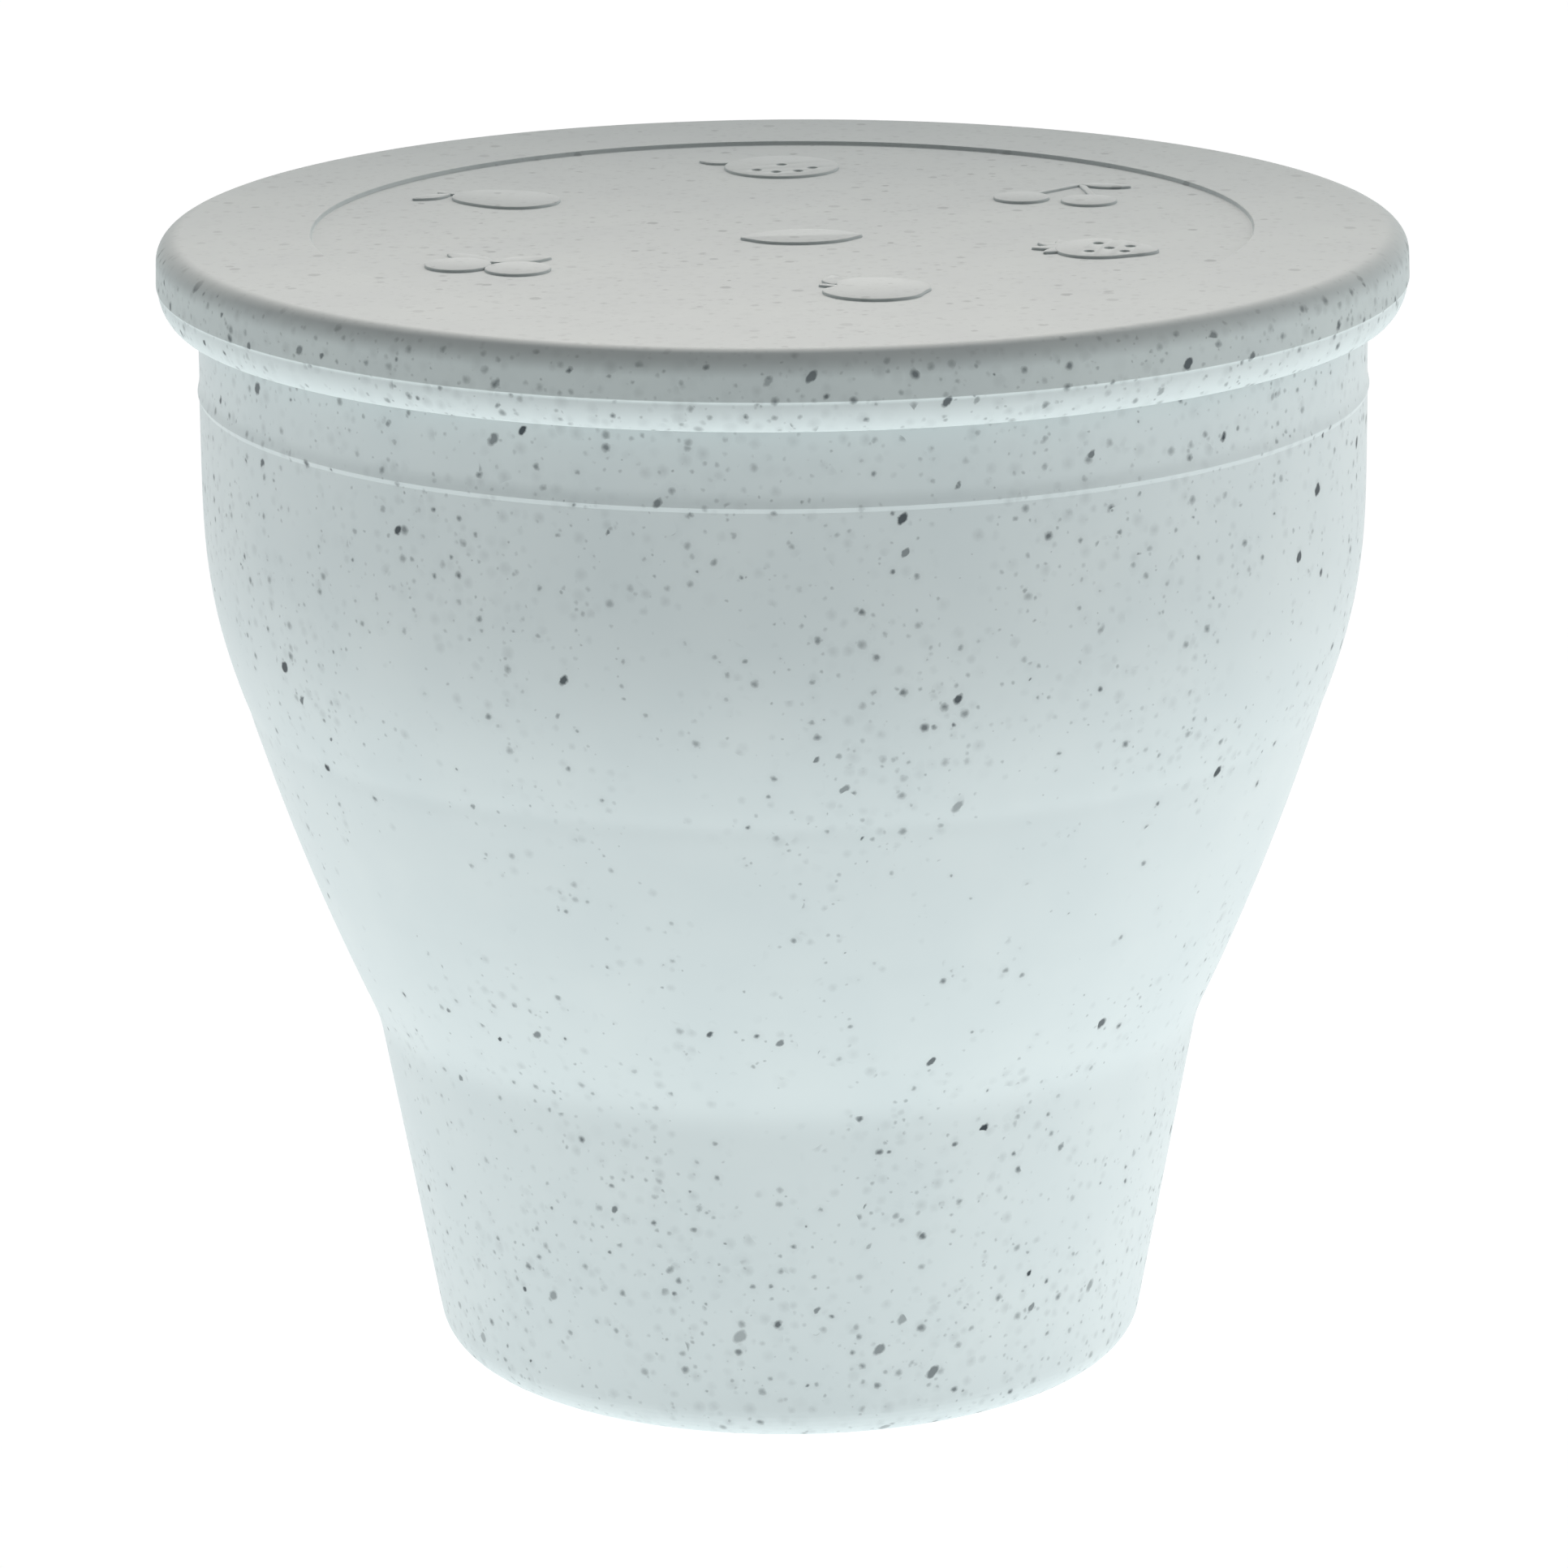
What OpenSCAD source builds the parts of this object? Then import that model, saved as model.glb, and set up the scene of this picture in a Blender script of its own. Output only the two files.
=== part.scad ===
// Collapsible snack cup for a toddler, moulded in soft silicone.
// A three-tier cup that folds flat at two hinge lines, a spill guard with
// eight soft flaps that sits in its rim, and a press-on lid with low relief.
// Millimetres, +Z up, the cup stands on Z = 0 with its axis on Z.

/* [Base tier] */
// Outer radius of the side wall, carried straight down to the table
base_r = 27.3; // [24:0.1:29]
// Radius of the rounded outer corner at the foot
base_corner_r = 5; // [2:0.5:6]
// Radius of the rounded corner inside, between wall and floor
inner_corner_r = 3; // [2:0.5:5]
// Thickness of the cup's floor
floor_t = 2.4; // [1.5:0.1:4]
// Radius of the shallow recess under the floor
foot_recess_r = 19; // [10:0.5:20]
// Depth of the recess under the floor
foot_recess_depth = 0.5; // [0.2:0.1:1]

/* [Cup wall] */
// Thickness of the wall, measured level
wall_t = 2.2; // [1.6:0.1:3]
// Height of the lower fold
fold_low_z = 27.6; // [26:0.1:32]
// Outer radius at the lower fold
fold_low_r = 32.3; // [31:0.1:34]
// Height of the upper fold
fold_high_z = 52.7; // [50:0.1:54]
// Outer radius at the upper fold
fold_high_r = 41.8; // [39:0.1:42.5]
// How far the middle tier bulges, as a share of its widening
middle_bulge = 0.22; // [0:0.02:0.4]
// Thickness of the wall in the hinge groove at each fold
fold_t = 1.3; // [1:0.1:1.5]
// Height of each hinge groove, on each side of its fold
fold_groove_h = 2.6; // [1:0.2:4]
// Height at which the upper tier becomes upright
shoulder_z = 69.5; // [66:0.5:74]
// How late the upper tier turns upright, as the power of its curve
shoulder_power = 2.3; // [1.6:0.1:3]

/* [Collar and rim] */
// Outer radius of the upper tier and collar
collar_r = 44.9; // [44:0.1:46]
// Height of the moulded line round the collar
collar_line_z = 77.3; // [75.5:0.1:78]
// How far the moulded line stands proud
collar_line_out = 0.2; // [0.1:0.05:0.3]
// Height of the moulded line's upper side
collar_line_top_h = 0.25; // [0.1:0.05:0.5]
// Height of the moulded line's underside
collar_line_under_h = 0.4; // [0.2:0.05:0.6]
// How far the collar steps in above the moulded line
collar_step = 0.1; // [0:0.05:0.2]
// Height of the cup's rim
rim_z = 86; // [84:0.5:88]
// How far the rim bead stands out from the collar
rim_bead_out = 0.7; // [0.3:0.1:1]
// Height of the rim bead
rim_bead_h = 1.8; // [1:0.1:2]
// Rounding of the rim's edges
edge_round = 0.4; // [0.2:0.1:0.6]

/* [Spill guard] */
// Thickness of the guard's flange on the rim
flange_t = 1.4; // [1:0.1:2]
// Thickness of the guard's plug wall
plug_t = 1.5; // [1:0.1:2]
// Play between the plug and the inside of the collar
plug_clear = 0.3; // [0.2:0.05:0.4]
// Depth of the dish from the flange's top to the membrane's underside
dish_depth = 8.2; // [6:0.1:9]
// How far the flange stays inside the rim bead's edge
flange_inset = 0.2; // [0.1:0.1:0.5]
// Lead-in at the bottom of the plug
plug_lead = 1; // [0.5:0.1:1.4]
// Radius of the fillet inside the dish
dish_fillet_r = 1.5; // [0.5:0.1:3]
// Thickness of the membrane round the flaps
membrane_t = 1.4; // [1:0.1:2]
// Distance from the centre to each flap's hinge
flap_hinge_r = 24; // [18:0.5:27]
// Thickness of a flap
flap_t = 1.2; // [0.8:0.1:1.4]
// Width of the slits between the flaps
slit_w = 0.5; // [0.4:0.1:0.8]
// Radius of the round hole that ends each slit
slit_end_r = 1.2; // [1:0.1:2]

/* [Lid] */
// Thickness of the lid's skirt at its parting line
skirt_t = 2.15; // [1.6:0.05:3]
// Thickness of the lid's top
lid_t = 1.8; // [1.6:0.1:3]
// Radius of the rounded top edge
lid_edge_r = 3.3; // [1:0.1:3.3]
// How far the side leans in from the parting line to the top edge
lid_side_lean = 0.1; // [0:0.05:0.8]
// Height from the parting line to the lid's top
lid_upper_h = 3.6; // [3.5:0.1:5]
// Height from the lip's underside to the parting line
lid_lower_h = 2.35; // [1.5:0.05:3]
// How far the lip curls in below the parting line
lid_tuck = 1.1; // [0.5:0.05:1.3]
// How far the side steps in at the parting line
parting_step = 0.12; // [0.05:0.01:0.2]
// Play between the lid's skirt and the rim bead
skirt_clear = 0.3; // [0.2:0.05:0.5]
// Radius of the round recess in the lid's top
disc_r = 36; // [33:0.5:40]
// Depth of the round recess
disc_depth = 0.45; // [0.2:0.05:0.8]
// Thickness of the seal ring under the lid
seal_t = 1.6; // [1:0.1:2]
// Depth of the seal ring under the lid's top plate
seal_depth = 2.5; // [1:0.1:4]
// Play between the seal ring and the guard's plug
seal_clear = 0.4; // [0.3:0.1:0.6]

/* [Fruit relief] */
// Height of the relief above the recess
relief_h = 0.35; // [0.2:0.05:0.6]
// Distance from the centre to the ring of fruit
relief_ring_r = 25.5; // [22:0.5:27]
// Size of one fruit
fruit_size = 10; // [7:0.5:11]

/* [Hidden] */

silicone = [0.79, 0.82, 0.835];
silicone_inner = [0.74, 0.78, 0.80];
flap_count = 8;
flap_step = 360 / flap_count;
curve_steps = 14;
cut_over = 1;
step_blend_h = 0.4;
ring_faces = 144;

base_slope = (fold_low_r - base_r) / fold_low_z;
base_lean = atan(base_slope);
collar_top_r = collar_r - collar_step;

plug_r = collar_top_r - wall_t - plug_clear;
plug_inner_r = plug_r - plug_t;
flange_top_z = rim_z + flange_t;
membrane_z = flange_top_z - dish_depth;
rim_bead_r = collar_top_r + rim_bead_out;
flange_r = rim_bead_r - flange_inset;
lid_top_z = flange_top_z + lid_t;
parting_z = lid_top_z - lid_upper_h;
lip_z = parting_z - lid_lower_h;
skirt_r = rim_bead_r + skirt_clear;
lid_r = skirt_r + skirt_t;
lid_shoulder_r = lid_r - lid_side_lean;
seal_r = plug_inner_r - seal_clear;
disc_z = lid_top_z - disc_depth;

// Radius and end angle of the curled lip, an arc that starts upright below the parting line
lip_arc_h = lid_lower_h - parting_step / 2;
lip_arc_w = lid_tuck - parting_step;
lip_arc_r = (lip_arc_h * lip_arc_h + lip_arc_w * lip_arc_w) / (2 * lip_arc_w);
lip_arc_end = asin(lip_arc_h / lip_arc_r);

// Points along a circular arc from angle a0 to angle a1
function arc(cx, cy, r, a0, a1, steps = curve_steps) =
  [for (i = [0:steps]) let (a = a0 + (a1 - a0) * i / steps)
    [cx + r * cos(a), cy + r * sin(a)]];

// Outer radius of each tier at height z
function base_side(z) = base_r + base_slope * z;
function middle_share(z) = (z - fold_low_z) / (fold_high_z - fold_low_z);
function middle_side(z) = let (t = middle_share(z))
  fold_low_r + (fold_high_r - fold_low_r) * (t + middle_bulge * t * (1 - t));
function upper_side(z) = z >= shoulder_z ? collar_r
  : collar_r - (collar_r - fold_high_r)
    * pow((shoulder_z - z) / (shoulder_z - fold_high_z), shoulder_power);

// Wall thickness at height z: it thins to fold_t in a rounded groove at a fold
function groove(z, fold_z) = let (d = abs(z - fold_z))
  d >= fold_groove_h ? 0 : (1 + cos(180 * d / fold_groove_h)) / 2;
function wall_at(z) = wall_t - (wall_t - fold_t)
  * max(groove(z, fold_low_z), groove(z, fold_high_z));

// Heights from a to b in equal steps
function heights(a, b, steps = curve_steps) =
  [for (i = [0:steps]) a + (b - a) * i / steps];

module revolve(points) {
  rotate_extrude($fn = ring_faces) polygon(points);
}

// Floor and lowest tier of the cup, up to the lower fold
module cup_base() {
  corner_x = base_r + base_slope * base_corner_r
    - base_corner_r * sqrt(1 + base_slope * base_slope);
  inner_r = base_r - wall_t;
  inner_x = inner_r + base_slope * (floor_t + inner_corner_r)
    - inner_corner_r * sqrt(1 + base_slope * base_slope);
  groove_z = fold_low_z - fold_groove_h;
  color(silicone) revolve(concat(
    [[0, foot_recess_depth], [foot_recess_r, foot_recess_depth],
      [foot_recess_r + foot_recess_depth, 0]],
    arc(corner_x, base_corner_r, base_corner_r, -90, -base_lean),
    [[fold_low_r, fold_low_z]],
    [for (z = heights(fold_low_z, groove_z)) [base_side(z) - wall_at(z), z]],
    arc(inner_x, floor_t + inner_corner_r, inner_corner_r, -base_lean, -90),
    [[0, floor_t]]));
}

// Middle tier between the two folds, the one that turns inside out
module cup_middle_wall() {
  color(silicone) revolve(concat(
    [for (z = heights(fold_low_z, fold_high_z)) [middle_side(z), z]],
    [for (z = heights(fold_high_z, fold_low_z, 2 * curve_steps))
      [middle_side(z) - wall_at(z), z]]));
}

// Upper tier, collar, moulded line and rim bead
module cup_upper_wall() {
  bead_z = rim_z - rim_bead_h;
  color(silicone) revolve(concat(
    [for (z = heights(fold_high_z, shoulder_z)) [upper_side(z), z]],
    [[collar_r, collar_line_z - collar_line_under_h],
      [collar_r + collar_line_out, collar_line_z],
      [collar_top_r, collar_line_z + collar_line_top_h],
      [collar_top_r, bead_z - rim_bead_out],
      [rim_bead_r, bead_z],
      [rim_bead_r, rim_z - edge_round],
      [rim_bead_r - edge_round, rim_z],
      [collar_top_r - wall_t + edge_round, rim_z],
      [collar_top_r - wall_t, rim_z - edge_round],
      [collar_top_r - wall_t, shoulder_z]],
    [for (z = heights(shoulder_z - step_blend_h, fold_high_z + fold_groove_h))
      [upper_side(z) - collar_step - wall_t, z]],
    [for (z = heights(fold_high_z + fold_groove_h, fold_high_z))
      [upper_side(z) - wall_at(z)
        - collar_step * (1 - groove(z, fold_high_z)), z]]));
}

// The eight-sided mouth that the flaps close, with the round slit ends
module guard_mouth(h) {
  rotate([0, 0, flap_step / 2])
    cylinder(r = flap_hinge_r / cos(flap_step / 2), h = h, $fn = flap_count);
}

module slit_ends(h) {
  for (i = [0:flap_count - 1])
    rotate([0, 0, flap_step * (i + 0.5)])
      translate([flap_hinge_r / cos(flap_step / 2), 0, 0])
        cylinder(r = slit_end_r, h = h, $fn = 32);
}

// Flange, plug wall and membrane of the spill guard
module spill_guard_ring() {
  color(silicone_inner) difference() {
    revolve(concat(
      [[0, membrane_z], [plug_r - plug_lead, membrane_z], [plug_r, membrane_z + plug_lead],
        [plug_r, rim_z], [flange_r, rim_z], [flange_r, flange_top_z],
        [plug_inner_r, flange_top_z]],
      arc(plug_inner_r - dish_fillet_r, membrane_z + membrane_t + dish_fillet_r,
        dish_fillet_r, 0, -90, 6),
      [[0, membrane_z + membrane_t]]));
    translate([0, 0, membrane_z - cut_over]) {
      guard_mouth(membrane_t + 2 * cut_over);
      slit_ends(membrane_t + 2 * cut_over);
    }
  }
}

// One wedge-shaped flap of the spill guard, hinged at its outer edge
module guard_flap(index) {
  half = flap_step / 2;
  side = flap_hinge_r * tan(half) - slit_w / (2 * cos(half));
  tip = slit_w / (2 * sin(half));
  color(silicone_inner) difference() {
    translate([0, 0, membrane_z]) rotate([0, 0, flap_step * (index - 1)])
      linear_extrude(height = flap_t)
        polygon([[flap_hinge_r, -side], [flap_hinge_r, side], [tip, 0]]);
    translate([0, 0, membrane_z - cut_over]) slit_ends(flap_t + 2 * cut_over);
  }
}

// A leaf with two pointed ends, length along X from the origin
module leaf(length, width) {
  r = (length * length / 4 + width * width / 4) / width;
  intersection() {
    translate([length / 2, r - width / 2]) circle(r = r, $fn = 96);
    translate([length / 2, width / 2 - r]) circle(r = r, $fn = 96);
  }
}

// A straight stem of the given length and width along Y
module stem(length, width) {
  translate([-width / 2, 0]) square([width, length]);
}

// Fruit outlines, each about one unit across, centred on the origin
module orange_outline() {
  difference() {
    circle(r = 0.46, $fn = 64);
    for (a = [200:40:340]) rotate(a) translate([0.26, 0]) circle(r = 0.04, $fn = 16);
    translate([0.02, 0.06]) circle(r = 0.04, $fn = 16);
  }
  translate([-0.42, 0.42]) rotate(-40) leaf(0.5, 0.2);
}

module apple_outline() {
  for (side = [-1, 1]) {
    translate([0.16 * side, 0.02]) circle(r = 0.28, $fn = 64);
    translate([0.12 * side, -0.17]) circle(r = 0.24, $fn = 64);
  }
  polygon([[-0.41, -0.1], [-0.3, -0.33], [0.3, -0.33], [0.41, -0.1], [0.1, 0.24],
    [-0.1, 0.24]]);
  translate([0, 0.2]) rotate(-8) stem(0.28, 0.07);
  translate([0.05, 0.36]) rotate(20) leaf(0.36, 0.16);
}

module pear_outline() {
  translate([0, -0.16]) circle(r = 0.34, $fn = 64);
  translate([0, 0.2]) circle(r = 0.2, $fn = 64);
  polygon([[-0.32, -0.05], [0.32, -0.05], [0.19, 0.24], [-0.19, 0.24]]);
  translate([0, 0.36]) stem(0.2, 0.07);
  translate([-0.03, 0.42]) rotate(155) leaf(0.36, 0.16);
}

module cherry_outline() {
  translate([-0.27, -0.24]) circle(r = 0.22, $fn = 64);
  translate([0.27, -0.2]) circle(r = 0.22, $fn = 64);
  translate([-0.24, -0.08]) rotate(-22) stem(0.6, 0.06);
  translate([0.24, -0.06]) rotate(25) stem(0.56, 0.06);
  translate([0, 0.42]) rotate(5) leaf(0.42, 0.18);
}

module strawberry_outline() {
  difference() {
    intersection() {
      translate([-0.2, 0.08]) circle(r = 0.6, $fn = 64);
      translate([0.2, 0.08]) circle(r = 0.6, $fn = 64);
      translate([0, -0.22]) circle(r = 0.5, $fn = 64);
    }
    for (p = [[-0.16, 0.02], [0.16, 0.02], [0, -0.1], [-0.1, -0.24], [0.1, -0.24]])
      translate(p) circle(r = 0.035, $fn = 16);
  }
  for (a = [30:40:150]) translate([0, 0.22]) rotate(a) leaf(0.3, 0.13);
}

module lemon_outline() {
  translate([-0.48, 0]) leaf(0.96, 0.56);
}

module plum_outline() {
  translate([-0.24, -0.12]) circle(r = 0.25, $fn = 64);
  translate([0.24, -0.16]) circle(r = 0.25, $fn = 64);
  translate([-0.04, 0.02]) rotate(35) leaf(0.5, 0.22);
  translate([0, 0.02]) rotate(150) leaf(0.52, 0.22);
}

// Sets one outline on the lid's recess, turned and at its place on the ring
module fruit(place_r, place_a, turn) {
  translate([place_r * cos(place_a), place_r * sin(place_a), disc_z])
    rotate([0, 0, turn]) linear_extrude(height = relief_h)
      scale(fruit_size) children();
}

module fruit_relief() {
  fruit(relief_ring_r, 90, 20) orange_outline();
  fruit(relief_ring_r, 150, 60) pear_outline();
  fruit(relief_ring_r, 212, -15) plum_outline();
  fruit(relief_ring_r, 286, 70) apple_outline();
  fruit(relief_ring_r, 338, 75) strawberry_outline();
  fruit(relief_ring_r, 30, -20) cherry_outline();
  fruit(relief_ring_r / 6, 290, 5) lemon_outline();
}

// Press-on lid: recessed top, rounded edge, skirt and seal ring
module lid() {
  color(silicone) {
    revolve(concat(
      [[0, disc_z], [disc_r, disc_z], [disc_r + disc_depth / 3, lid_top_z]],
      arc(lid_shoulder_r - lid_edge_r, lid_top_z - lid_edge_r, lid_edge_r, 90, 0, 10),
      [[lid_r, parting_z + parting_step / 2]],
      arc(lid_r - parting_step - lip_arc_r, parting_z - parting_step / 2, lip_arc_r,
        0, -lip_arc_end, 10),
      [[skirt_r, lip_z],
        [skirt_r, flange_top_z], [seal_r, flange_top_z],
        [seal_r, flange_top_z - seal_depth],
        [seal_r - seal_t, flange_top_z - seal_depth],
        [seal_r - seal_t, flange_top_z], [0, flange_top_z]]));
    fruit_relief();
  }
}

cup_base();
cup_middle_wall();
cup_upper_wall();
spill_guard_ring();
guard_flap(1);  // guard_flap_1
guard_flap(2);  // guard_flap_2
guard_flap(3);  // guard_flap_3
guard_flap(4);  // guard_flap_4
guard_flap(5);  // guard_flap_5
guard_flap(6);  // guard_flap_6
guard_flap(7);  // guard_flap_7
guard_flap(8);  // guard_flap_8
lid();
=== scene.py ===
"""Dresses the collapsible snack cup: one folding cup, its spill guard and its press-on lid.

Every size inside the classes is in millimetres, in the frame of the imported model:
+Z up the cup's axis, -Y towards the camera, the foot on Z = 0. Meshes are made in
metres, so MM turns the one into the other.
"""
import logging
import math
from dataclasses import dataclass, field, replace
from enum import Enum
from typing import Callable, Iterable, Sequence

import bmesh
import bpy
from mathutils import Matrix, Quaternion, Vector


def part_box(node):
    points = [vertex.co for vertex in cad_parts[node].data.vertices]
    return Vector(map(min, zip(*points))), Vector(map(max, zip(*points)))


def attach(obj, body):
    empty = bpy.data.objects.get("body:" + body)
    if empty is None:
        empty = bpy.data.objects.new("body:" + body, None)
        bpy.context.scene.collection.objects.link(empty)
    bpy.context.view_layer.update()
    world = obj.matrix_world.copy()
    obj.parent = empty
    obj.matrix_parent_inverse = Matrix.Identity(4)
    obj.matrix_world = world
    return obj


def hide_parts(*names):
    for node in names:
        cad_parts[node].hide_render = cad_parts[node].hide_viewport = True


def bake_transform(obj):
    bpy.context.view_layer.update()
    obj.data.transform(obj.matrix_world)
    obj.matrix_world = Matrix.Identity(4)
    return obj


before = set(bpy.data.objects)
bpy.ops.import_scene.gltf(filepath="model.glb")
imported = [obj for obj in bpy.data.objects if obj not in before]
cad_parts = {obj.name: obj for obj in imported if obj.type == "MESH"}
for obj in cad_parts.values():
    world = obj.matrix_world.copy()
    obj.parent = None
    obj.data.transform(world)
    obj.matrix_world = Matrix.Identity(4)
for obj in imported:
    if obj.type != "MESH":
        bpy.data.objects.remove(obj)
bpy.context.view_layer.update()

LOG = logging.getLogger("snack_cup")
MM = 0.001
REST_PLACE = "rest_place"
TURN_STEPS = 192
ARC_STEPS = 10
# A radius below this lies on the axis, and a bend below this many radians is straight.
ON_AXIS = 1e-6
STRAIGHT = 1e-3
# The share of a straight that the fillet at either end of it can take.
FILLET_ROOM = 0.49
# How much each height near a fold counts in the rounding of that fold.
FOLD_WEIGHTS = (1, 2, 3, 4, 3, 2, 1)
# Where the middle point of a small edge of three points lies, as a share of that edge.
EDGE_BULGE = 0.3
# The smallest and the faintest speck, as shares of a layer's largest and darkest.
SMALLEST_SPECK = 0.35
FAINTEST_SPECK = 0.4
# How far a speck's stain reaches, in radii of the speck.
HALO_REACH = 2.4
# How wide specks are where there are none round them and in a full crowd.
SWELL = (0.75, 1.25)
FULL_CROWD = 2.0
# How full the fruit figures' leaves are: a lower power is fuller.
LEAF_FULLNESS = 0.8
SILICONE_IOR = 1.41
WHITE = (1.0, 1.0, 1.0, 1.0)

Point = tuple[float, float]
Colour = tuple[float, float, float]


class Slot(Enum):
    """The record's material slots."""

    CUP = "cup_silicone"
    GUARD = "guard_silicone"
    LID = "lid_silicone"


class SpeckEdge(Enum):
    """How a speck fades at its edge: the share of its radius that is soft."""

    CRISP = 0.35
    SOFT = 0.7
    CLOUDY = 1.0


# ---------------------------------------------------------------- profiles and meshes


@dataclass(frozen=True)
class RoundNode:
    """The size of one round CAD node.

    Attributes:
        radius: Its largest radius.
        low: The height of its lowest point.
        high: The height of its highest point.
    """

    radius: float
    low: float
    high: float

    @classmethod
    def of(cls, node: str) -> "RoundNode":
        """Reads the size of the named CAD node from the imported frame, in millimetres."""
        low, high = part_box(node)
        return cls(high.x / MM, low.z / MM, high.z / MM)


def sized_by(node: str) -> RoundNode:
    """Returns a dataclass field that holds the size of the named CAD node."""
    return field(default_factory=lambda: RoundNode.of(node))


@dataclass(frozen=True)
class Corner:
    """One corner of a turned profile and the radius that rounds it."""

    radius: float
    height: float
    fillet: float = 0.0


def rounded(corners: Sequence[Corner], step: float = 1.5, support: float = 0.1,
            arc_steps: int = 6) -> list[Point]:
    """Turns corners into a smooth line of points.

    Args:
        corners: The profile's corners in order; the first and last stay sharp.
        step: The longest distance between two points on a straight.
        support: How close to a fillet a straight has its first point.
        arc_steps: The number of segments in one fillet.

    Returns:
        The (radius, height) points.
    """
    line: list[Point] = [(corners[0].radius, corners[0].height)]
    for before, here, after in zip(corners, corners[1:], corners[2:]):
        into = Vector((before.radius - here.radius, before.height - here.height))
        out = Vector((after.radius - here.radius, after.height - here.height))
        room = FILLET_ROOM * min(into.length, out.length)
        into.normalize()
        out.normalize()
        bend = math.pi - into.angle(out)
        if here.fillet <= 0 or bend < STRAIGHT:
            line.append((here.radius, here.height))
            continue
        reach = min(here.fillet * math.tan(bend / 2), room)
        fillet = reach / math.tan(bend / 2)
        corner = Vector((here.radius, here.height))
        middle = corner + (into + out).normalized() * (fillet / math.cos(bend / 2))
        start = corner + into * reach - middle
        side = 1 if into.x * out.y - into.y * out.x < 0 else -1
        for i in range(arc_steps + 1):
            turned = side * bend * i / arc_steps
            line.append((middle.x + start.x * math.cos(turned) - start.y * math.sin(turned),
                         middle.y + start.x * math.sin(turned) + start.y * math.cos(turned)))
    line.append((corners[-1].radius, corners[-1].height))
    return with_supports(line, step, support)


def with_supports(line: Sequence[Point], step: float, support: float) -> list[Point]:
    """Adds points to the long straights of a line, so that smooth shading stays flat there.

    Args:
        line: The points.
        step: The longest distance between two points.
        support: The distance from a straight's ends to its first added points.

    Returns:
        The points with the added ones.
    """
    full: list[Point] = [line[0]]
    for (x0, y0), (x1, y1) in zip(line, line[1:]):
        length = math.hypot(x1 - x0, y1 - y0)
        shares: list[float] = []
        if length > 4 * support:
            shares = [support / length, 1 - support / length]
            inner = max(0, math.ceil(length / step) - 1)
            shares += [(i + 1) / (inner + 1) for i in range(inner)]
        full += [(x0 + (x1 - x0) * s, y0 + (y1 - y0) * s) for s in sorted(shares)]
        full.append((x1, y1))
    return full


def spaced(low: float, high: float, steps: int) -> list[float]:
    """Returns steps + 1 values from low to high in equal steps."""
    return [low + (high - low) * i / steps for i in range(steps + 1)]


def direction(azimuth: float, elevation: float) -> Vector:
    """Finds the direction from the cup to a lamp or screen.

    Args:
        azimuth: Its degrees round the cup: 0 is the camera's side, 90 the right.
        elevation: Its degrees above the table.

    Returns:
        The direction, one unit long.
    """
    across, up = math.radians(azimuth), math.radians(elevation)
    return Vector((math.sin(across) * math.cos(up), -math.cos(across) * math.cos(up),
                   math.sin(up)))


def added(name: str, data: bpy.types.ID) -> bpy.types.Object:
    """Makes an object and adds it to the scene.

    Args:
        name: The object's name.
        data: Its mesh, curve, light or camera.

    Returns:
        The object.
    """
    made = bpy.data.objects.new(name, data)
    bpy.context.scene.collection.objects.link(made)
    return made


def piece(name: str, mesh: bmesh.types.BMesh) -> bpy.types.Object:
    """Makes an object from a mesh in millimetres and keeps each point's place at rest.

    Args:
        name: The piece's name.
        mesh: The mesh in millimetres, which is freed.

    Returns:
        The smooth-shaded object in metres.
    """
    bmesh.ops.scale(mesh, vec=Vector((MM, MM, MM)), verts=mesh.verts)
    bmesh.ops.recalc_face_normals(mesh, faces=mesh.faces)
    data = bpy.data.meshes.new(name)
    mesh.to_mesh(data)
    mesh.free()
    for polygon in data.polygons:
        polygon.use_smooth = True
    place = data.attributes.new(REST_PLACE, "FLOAT_VECTOR", "POINT")
    flat = [value for vertex in data.vertices for value in vertex.co]
    place.data.foreach_set("vector", flat)
    return added(name, data)


def turned(name: str, profile: Sequence[Point], closed: bool = False) -> bpy.types.Object:
    """Turns a profile round the Z axis.

    Args:
        name: The piece's name.
        profile: The (radius, height) points; a point on the axis becomes a pole.
        closed: Whether the profile joins its own start.

    Returns:
        The object.
    """
    mesh = bmesh.new()
    rings: list[list[bmesh.types.BMVert]] = []
    for radius, height in profile:
        if radius < ON_AXIS:
            rings.append([mesh.verts.new((0, 0, height))])
            continue
        angles = (2 * math.pi * i / TURN_STEPS for i in range(TURN_STEPS))
        rings.append([mesh.verts.new((radius * math.cos(a), radius * math.sin(a), height))
                      for a in angles])
    pairs = list(zip(rings, rings[1:])) + ([(rings[-1], rings[0])] if closed else [])
    for lower, upper in pairs:
        for i in range(TURN_STEPS):
            j = (i + 1) % TURN_STEPS
            corners = [lower[i % len(lower)], lower[j % len(lower)],
                       upper[j % len(upper)], upper[i % len(upper)]]
            mesh.faces.new(list(dict.fromkeys(corners)))
    return piece(name, mesh)


def lofted(mesh: bmesh.types.BMesh, sections: Sequence[Sequence[Vector]],
           round_trip: bool = False) -> None:
    """Skins closed sections with quads and caps the ends.

    Args:
        mesh: The mesh that gets the faces.
        sections: Closed rings of points, all with the same count.
        round_trip: Whether the last section joins the first, which leaves no caps.
    """
    rings = [[mesh.verts.new(point) for point in section] for section in sections]
    count = len(rings[0])
    pairs = list(zip(rings, rings[1:])) + ([(rings[-1], rings[0])] if round_trip else [])
    for one, two in pairs:
        for i in range(count):
            j = (i + 1) % count
            mesh.faces.new((one[i], one[j], two[j], two[i]))
    if not round_trip:
        for cap in (rings[0], rings[-1]):
            face = mesh.faces.new(cap)
            for edge in face.edges:
                edge.smooth = False


# ---------------------------------------------------------------- shader maths


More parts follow.
